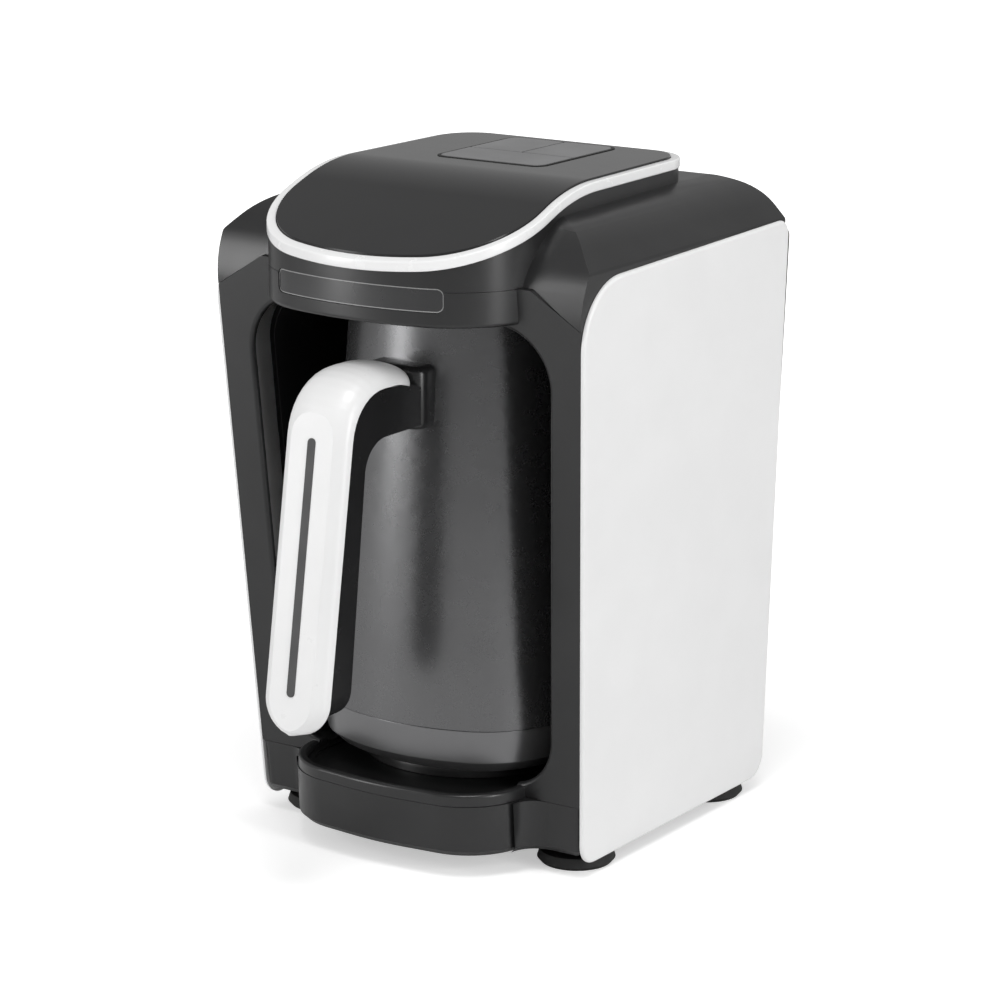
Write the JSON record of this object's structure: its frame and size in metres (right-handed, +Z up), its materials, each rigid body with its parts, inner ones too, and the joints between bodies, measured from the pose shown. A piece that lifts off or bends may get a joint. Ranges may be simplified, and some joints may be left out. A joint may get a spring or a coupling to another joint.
{
  "type": "electric turkish coffee maker",
  "caption": "Tapered countertop coffee maker: dark arch round a pot bay, white side panels, overhanging head with push buttons, lift-out pot with a front handle.",
  "frame": {"origin": "middle of the overall width and depth, on the plane the feet rest on", "axes": "+Z up, the front with the handle looks to -Y, +X is the viewer's right when facing the front"},
  "size_m": [0.167, 0.2159, 0.2563],
  "materials": {
    "white_panel": "satin white",
    "white_grip": "satin white",
    "gloss_lid": "high gloss",
    "key_caps": "gloss",
    "bright_trim": "satin bright",
    "pot_metal": "satin dark coat",
    "steel": "brushed",
    "dark_base": "satin",
    "dark_grip": "fine grain",
    "plate_gloss": "gloss",
    "rubber": "matt",
    "circuit_board": "lacquered board",
    "inner_parts": "moulded",
    "screw_steel": "zinc plated",
    "lens": "dark clear",
    "wire_sleeve": "sleeved wires",
    "dark_shell": "satin dark grey"
  },
  "bodies": {
    "housing": {"base_housing": "dark_shell", "base_plate": "dark_shell", "base_screws": "screw_steel", "bay_liner": "dark_shell", "button_carrier": "inner_parts", "buzzer": "inner_parts", "contact_tower": "dark_base", "control_board": "circuit_board", "cord_gland": "rubber", "foot_front_left": "rubber", "foot_front_right": "rubber", "foot_rear_left": "rubber", "foot_rear_right": "rubber", "front_frame": "dark_shell", "head_skirt": "dark_shell", "key_switches": "inner_parts", "lid_panel": "gloss_lid", "mains_filter": "inner_parts", "name_plate": "plate_gloss", "power_board": "circuit_board", "power_pedestal": "dark_base", "rear_cover": "dark_shell", "rear_screws": "screw_steel", "relay": "inner_parts", "sensor_board": "circuit_board", "sensor_lens": "lens", "side_panel_left": "white_panel", "side_panel_right": "white_panel", "thermal_fuse": "inner_parts", "top_cover": "dark_shell", "tray_floor": "dark_shell", "trim_ring": "bright_trim", "wiring_harness": "wire_sleeve"},
    "pot": {"pot_body": "pot_metal", "pot_band": "dark_base", "pot_socket": "dark_base", "heater_plate": "steel", "handle_core": "dark_grip", "handle_cover": "white_grip", "handle_inlay": "dark_grip", "handle_bracket": "steel"},
    "long_key": {"button_long": "key_caps"},
    "left_key": {"button_left": "key_caps"},
    "right_key": {"button_right": "key_caps"}
  },
  "joints": [
    {"name": "pot_removal", "type": "slide", "parent": "housing", "child": "pot", "axis": [0, -1, 0], "range_m": [0, 0.2]},
    {"name": "long_key_press", "type": "slide", "parent": "housing", "child": "long_key", "axis": [0, 0, -1], "range_m": [0, 0.0008], "stiffness_N_per_m": 600},
    {"name": "left_key_press", "type": "slide", "parent": "housing", "child": "left_key", "axis": [0, 0, -1], "range_m": [0, 0.0008], "stiffness_N_per_m": 600},
    {"name": "right_key_press", "type": "slide", "parent": "housing", "child": "right_key", "axis": [0, 0, -1], "range_m": [0, 0.0008], "stiffness_N_per_m": 600}
  ]
}
